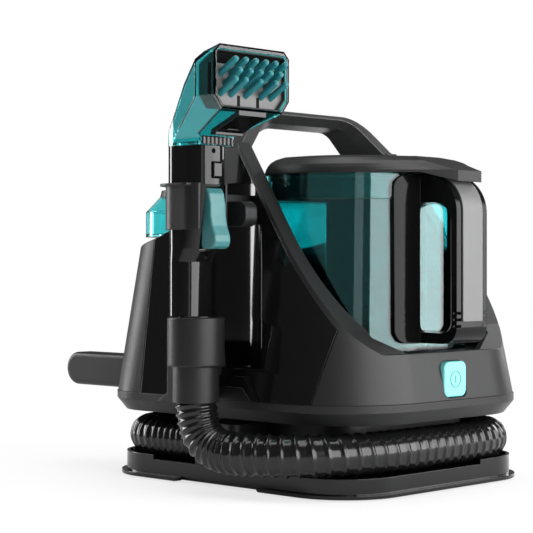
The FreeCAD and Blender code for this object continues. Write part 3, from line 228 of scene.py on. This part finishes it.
tool_x = -0.166
hose_points = [(tool_x, -0.015, 0.090), (tool_x, -0.015, 0.0555), (-0.162, -0.034, 0.036),
               (-0.158, -0.072, 0.036), (-0.128, -0.120, 0.036), (-0.075, -0.1385, 0.036),
               (0.005, -0.1375, 0.036), (0.082, -0.1345, 0.036), (0.112, -0.108, 0.036),
               (0.114, -0.036, 0.036), (0.1136, 0.036, 0.036), (0.112, 0.108, 0.036),
               (0.083, 0.136, 0.036), (0.0, 0.137, 0.036), (-0.080, 0.136, 0.036),
               (-0.109, 0.108, 0.036), (-0.108, 0.066, 0.036), (-0.108, 0.026, 0.036)]
hose_valley = 0.0164
hose_rib = 0.0016
rib_half_width = 0.0016
rib_fall = 1.3
hose_step = 0.0009
hose_sides = 40
rib_pitches = [(0.0, 0.0062), (0.07, 0.0064), (0.12, 0.0105), (0.20, 0.0120), (0.32, 0.0115),
               (0.40, 0.0085), (0.50, 0.0078), (0.95, 0.0078)]

route = bpy.data.curves.new("hose_route", "CURVE")
route.dimensions = "3D"
route.resolution_u = 40
spline = route.splines.new("NURBS")
spline.points.add(len(hose_points) - 1)
for knot, spot in zip(spline.points, hose_points):
    knot.co = (*spot, 1.0)
spline.order_u = 3
spline.use_endpoint_u = True
route_object = bpy.data.objects.new("hose_route", route)
line = bpy.data.meshes.new_from_object(route_object)
line_points = [vertex.co.copy() for vertex in line.vertices]
bpy.data.objects.remove(route_object)
bpy.data.curves.remove(route)
bpy.data.meshes.remove(line)


def evenly(points, step):
    """Points at even distances along a line of points, with their directions."""
    lengths = [0.0]
    for start, end in zip(points, points[1:]):
        lengths.append(lengths[-1] + (end - start).length)
    count = int(lengths[-1] / step)
    spots = []
    for index in range(count + 1):
        distance = lengths[-1] * index / count
        after = min(max(bisect.bisect_left(lengths, distance), 1), len(points) - 1)
        run = lengths[after] - lengths[after - 1]
        share = (distance - lengths[after - 1]) / run if run else 0.0
        spots.append(points[after - 1].lerp(points[after], share))
    along = []
    for index in range(len(spots)):
        before = spots[max(index - 2, 0)]
        after = spots[min(index + 2, len(spots) - 1)]
        along.append((after - before).normalized())
    return spots, along


def slow_change(knots, at):
    """Straight interpolation in a short list of (place, amount)."""
    for (low, first), (high, second) in zip(knots, knots[1:]):
        if at <= high:
            return first + (second - first) * (at - low) / (high - low)
    return knots[-1][1]


def pipe(name, spots, along, radius_at, sides):
    """A closed tube along a line; radius_at gives its radius from the ring's index and the angle."""
    mesh = bpy.data.meshes.new(name)
    build = bmesh.new()
    side = Vector((0, 0, 1)).cross(along[0])
    side = (side if side.length > 0.01 else Vector((1, 0, 0))).normalized()
    rings = []
    for index, (spot, forward) in enumerate(zip(spots, along)):
        side = (side - forward * side.dot(forward)).normalized()
        up = forward.cross(side)
        ring = []
        for step in range(sides):
            angle = math.tau * step / sides
            radius = radius_at(index, angle)
            ring.append(build.verts.new(spot + side * math.cos(angle) * radius + up * math.sin(angle) * radius))
        rings.append(ring)
    for low, high in zip(rings, rings[1:]):
        for step in range(sides):
            beside = (step + 1) % sides
            build.faces.new((low[step], low[beside], high[beside], high[step]))
    build.faces.new(rings[0][::-1])
    build.faces.new(rings[-1])
    build.to_mesh(mesh)
    build.free()
    return mesh


hose_spots, hose_along = evenly(line_points, hose_step)
turns = [0.0]
for index in range(1, len(hose_spots)):
    step = (hose_spots[index] - hose_spots[index - 1]).length
    turns.append(turns[-1] + step / slow_change(rib_pitches, hose_step * index))


def hose_radius(index, angle):
    """The wire's winding shows as a rib that climbs one pitch in every turn."""
    phase = (turns[index] - angle / math.tau + 0.5) % 1.0 - 0.5
    away = abs(phase) * slow_change(rib_pitches, hose_step * index) / rib_half_width
    return hose_valley + hose_rib * math.exp(-away ** 2 * rib_fall)


hose_finish = Finish("hose_black", specular_ior_level=0.4)
hose_scuff = hose_finish.noise(60.0, 4.0)
hose_finish.set(**{"Base Color": hose_finish.between(hose_scuff, grey(0.004), grey(0.009, 0.05)),
                   "Roughness": hose_finish.remap(hose_scuff, 0.3, 0.7, 0.12, 0.19)})
hose_finish.raised(hose_finish.noise(900.0, 3.0), 0.00006)
hose = piece("hose_with_ribs", pipe("hose_with_ribs", hose_spots, hose_along, hose_radius, hose_sides),
             hose_finish, "main_body")
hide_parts("hose")
[tuple(spot) for spot in hose_spots[::6]] + [tuple(hose_spots[-1])]


# Moulded plastics of the body
# Injection-moulded ABS: fine spark-eroded grain on the satin parts, a polish on the
# side panels and the base, and edges that are softened by the tool's small radii.

mottle_scale, grain_share = 14.0, 0.35


def moulded(name, low, high, shine_low, shine_high, grain, grain_depth, edge, **fixed):
    """A moulded plastic: slight mottling, uneven shine, fine grain and soft edges."""
    finish = Finish(name, **fixed)
    mottle = finish.noise(mottle_scale, 3.0)
    fine = finish.noise(grain, 2.0)
    finish.set(**{"Base Color": finish.between(mottle, low, high),
                  "Roughness": finish.remap(mottle + fine * grain_share, 0.35, 1.0, shine_low, shine_high)})
    finish.raised(fine, grain_depth, edge)
    return finish


def dress(finish, *nodes):
    for node in nodes:
        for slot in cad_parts[node].material_slots:
            slot.link = "OBJECT"
            slot.material = finish.material


satin_black = moulded("satin_black", grey(0.008, 0.03), grey(0.012, 0.03), 0.34, 0.46, 2400.0, 0.00005, 0.0012,
                      specular_ior_level=0.30)
gloss_black = moulded("gloss_black", grey(0.003, 0.03), grey(0.005, 0.03), 0.06, 0.12, 400.0, 0.00001, 0.0009,
                      specular_ior_level=0.35)
satin_grey = moulded("satin_grey", grey(0.010, 0.03), grey(0.014, 0.03), 0.34, 0.44, 2400.0, 0.00005, 0.0012,
                     specular_ior_level=0.27)
inner_grey = moulded("inner_grey", grey(0.16), grey(0.20), 0.45, 0.60, 1200.0, 0.00004, 0.0006)
dress(satin_black, "lower_housing", "rear_cover", "tank_deck", "waist_core", "hose_inlet",
      "base_plate", "dock_bracket", "hose_cuff", "tool_clip", "cord_posts")
dress(satin_grey, "front_shell")
hoop_grey = moulded("hoop_grey", grey(0.022, 0.02), grey(0.029, 0.02), 0.24, 0.34, 2400.0, 0.00004, 0.0014,
                    specular_ior_level=0.60)
dress(hoop_grey, "carry_handle")
dress(gloss_black, "left_side_panel", "right_side_panel", "base_tray")
dress(inner_grey, "fan_housing", "switch_box", "suction_duct", "water_pump", "impeller")

rubber = moulded("foot_rubber", grey(0.030), grey(0.045), 0.70, 0.85, 900.0, 0.0001, 0.0006)
dress(rubber, "rubber_feet", "lid_gasket", "cord_gland")


# Motor and control board
# A steel motor can with a turned finish on its shaft, and a glass-fibre board.

steel = Finish("turned_steel", metallic=1.0)
lathe_lines = steel.noise(30.0, 2.0, steel.node("ShaderNodeMapping", {}, {"Vector": steel.place(),
                                                                         "Scale": (1.0, 1.0, 60.0)}))
steel.set(**{"Base Color": steel.between(lathe_lines, grey(0.52), grey(0.62)),
             "Roughness": steel.remap(lathe_lines, 0.3, 0.7, 0.22, 0.40)})
steel.raised(lathe_lines, 0.00003, 0.0005)
dress(steel, "motor_can", "motor_shaft")

board = moulded("green_board", (0.01, 0.10, 0.045, 1.0), (0.015, 0.14, 0.06, 1.0), 0.30, 0.45, 1500.0, 0.00003,
                0.0003)
dress(board, "control_board")


# Water tanks
# Clear teal copolyester with the faint haze and flow lines of thick mouldings.
# A black skirt under the lid reaches into the dirty tank, notched over its baffle.

flow_shade = 0.88


def clear_teal(name, colour, haze):
    finish = Finish(name, transmission_weight=1.0, ior=1.45)
    flow = finish.noise(6.0, 3.0)
    darker = tuple(part * flow_shade for part in colour[:3]) + (1.0,)
    finish.set(**{"Base Color": finish.between(flow, darker, colour),
                  "Roughness": finish.remap(finish.noise(40.0, 3.0), 0.3, 0.7, haze * 0.6, haze)})
    finish.raised(flow, 0.0002, 0.0010)
    return finish


tank_teal = clear_teal("tank_teal", (0.20, 0.78, 0.80, 1.0), 0.05)
dress(tank_teal, "dirty_tank_body", "clean_tank_body")
hood_teal = clear_teal("hood_teal", (0.10, 0.56, 0.58, 1.0), 0.08)
dress(hood_teal, "brush_head")
dress(satin_black, "dirty_tank_lid", "clean_tank_top", "filler_cap", "standpipe", "tank_baffle")
handle_black = moulded("handle_black", grey(0.003, 0.03), grey(0.005, 0.03), 0.08, 0.14, 400.0, 0.00001, 0.0009,
                       specular_ior_level=0.12)
dress(handle_black, "tank_handle")


baffle_notch = [(-0.0038, False), (-0.0042, True), (-0.0076, True), (-0.0080, False)]


def tank_plan(inset, z, notch_z, steps=9):
    """The tank's inside outline, set in by inset, at height z and at notch_z over the tank's baffle."""
    loop = []
    for cx, cy, radius, start, notch in ((0.0192, -0.0600, 0.0718, -90, []),
                                         (0.0712, -0.0380, 0.0198, 0, baffle_notch),
                                         (-0.0712, -0.0380, 0.0198, 90, []),
                                         (-0.0192, -0.0600, 0.0718, 180, baffle_notch[::-1])):
        for step in range(steps):
            angle = math.radians(start + 90.0 * step / (steps - 1))
            loop.append((cx + (radius - inset) * math.cos(angle), cy + (radius - inset) * math.sin(angle), z))
        loop += [(x, loop[-1][1], notch_z if raised else z) for x, raised in notch]
    return loop


skirt_low, skirt_notch, skirt_top = 0.2480, 0.2606, 0.2632
skirt_outside, skirt_inside = 0.0016, 0.0036
skirt = stack("lid_skirt", [tank_plan(skirt_outside, skirt_low, skirt_notch),
                            tank_plan(skirt_outside, skirt_top, skirt_top),
                            tank_plan(skirt_inside, skirt_top, skirt_top),
                            tank_plan(skirt_inside, skirt_low, skirt_notch)], True)
piece("lid_skirt", skirt, satin_black, "tank_lid", smooth=False)

plate_grey = moulded("plate_grey", grey(0.11, 0.01), grey(0.135, 0.01), 0.34, 0.46, 2400.0, 0.00005, 0.0008)
dress(plate_grey, "grip_plate")
milk_white = moulded("milk_white", grey(0.72), grey(0.80), 0.35, 0.50, 900.0, 0.00003, 0.0008)
dress(milk_white, "float_ring", "valve_pin")


# Hand tool
# A two-shell black grip with a teal trigger, an air channel to the brush head and
# rubber pegs that agitate the fabric under the suction mouth.

dress(gloss_black, "tool_stem", "head_latch", "neck_ring", "spray_nozzle")
sole_grey = moulded("sole_grey", grey(0.075), grey(0.095), 0.38, 0.50, 2000.0, 0.00005, 0.0008)
dress(sole_grey, "brush_plate")
touch_teal = moulded("touch_teal", (0.034, 0.145, 0.152, 1.0), (0.054, 0.195, 0.203, 1.0), 0.30, 0.42, 1800.0,
                     0.00005, 0.0022)
dress(touch_teal, "trigger")
button_teal = moulded("button_teal", (0.15, 0.54, 0.55, 1.0), (0.20, 0.63, 0.64, 1.0), 0.30, 0.42, 1800.0,
                      0.00004, 0.0018)
dress(button_teal, "power_button")
peg_teal = moulded("peg_teal", (0.006, 0.13, 0.15, 1.0), (0.012, 0.19, 0.21, 1.0), 0.40, 0.55, 1200.0, 0.00004,
                   0.0006)
dress(peg_teal, "brush_pegs")


def mouth_loop(outline, y):
    """A loop round the mouth of the brush head from half of its (x, z) outline, in metres."""
    both = outline + [(-x, z) for x, z in reversed(outline)]
    return [(x + tool_x, y, z) for x, z in both]


tray_low = [(0.0322, 0.3176), (0.0402, 0.3275)]
tray_low_inside = [(0.0312, 0.3188), (0.0392, 0.3280)]
tray = stack("brush_tray", [
    mouth_loop(tray_low + [(0.0402, 0.3510), (0.0388, 0.3530)], -0.0620),
    mouth_loop(tray_low + [(0.0402, 0.3600), (0.0388, 0.3612)], -0.0758),
    mouth_loop(tray_low + [(0.0402, 0.3605), (0.0378, 0.3627)], -0.0795),
    mouth_loop(tray_low_inside + [(0.0392, 0.3606), (0.0380, 0.3616)], -0.0795),
    mouth_loop(tray_low_inside + [(0.0392, 0.3600), (0.0388, 0.3606)], -0.0758),
    mouth_loop(tray_low_inside + [(0.0392, 0.3504), (0.0382, 0.3520)], -0.0632)], False)
piece("brush_tray", tray, satin_black, "tool_head", smooth=False)

rim_outer = [(0.0350, 0.3155), (0.0430, 0.3260), (0.0430, 0.3610), (0.0370, 0.3670)]
rim_inner = [(0.0342, 0.3170), (0.0416, 0.3266), (0.0416, 0.3604), (0.0364, 0.3656)]
rim_front, rim_back = -0.0815, -0.0803
rim = stack("mouth_rim", [mouth_loop(rim_outer, rim_front), mouth_loop(rim_outer, rim_back),
                          mouth_loop(rim_inner, rim_back), mouth_loop(rim_inner, rim_front)], True)
rim_grey = moulded("rim_grey", grey(0.16), grey(0.20), 0.35, 0.48, 1800.0, 0.00004, 0.0004)
piece("mouth_rim", rim, rim_grey, "tool_head", smooth=False)


# Sign on the power button
# A ring with an upright bar in it, moulded a little proud of the button's face.

button_z = 0.0945
sign_foot, sign_face = -0.1590, -0.1602
ring_outer, ring_inner = 0.0072, 0.0065
bar_half, bar_reach = 0.0004, 0.0030


def sign_circle(radius, y, steps=48):
    return [(radius * math.cos(math.tau * step / steps), y, button_z + radius * math.sin(math.tau * step / steps))
            for step in range(steps)]


sign_teal = moulded("sign_teal", (0.030, 0.17, 0.18, 1.0), (0.045, 0.21, 0.22, 1.0), 0.35, 0.45, 1800.0, 0.00004,
                    0.0002)
ring = stack("power_ring", [sign_circle(ring_outer, sign_foot), sign_circle(ring_outer, sign_face),
                            sign_circle(ring_inner, sign_face), sign_circle(ring_inner, sign_foot)], True)
piece("power_ring", ring, sign_teal, "button", smooth=False)
bar_corners = [(-bar_half, button_z - bar_reach), (bar_half, button_z - bar_reach),
               (bar_half, button_z + bar_reach), (-bar_half, button_z + bar_reach)]
bar = stack("power_bar", [[(x, y, z) for x, z in bar_corners] for y in (sign_foot, sign_face)], False)
piece("power_bar", bar, sign_teal, "button", smooth=False)
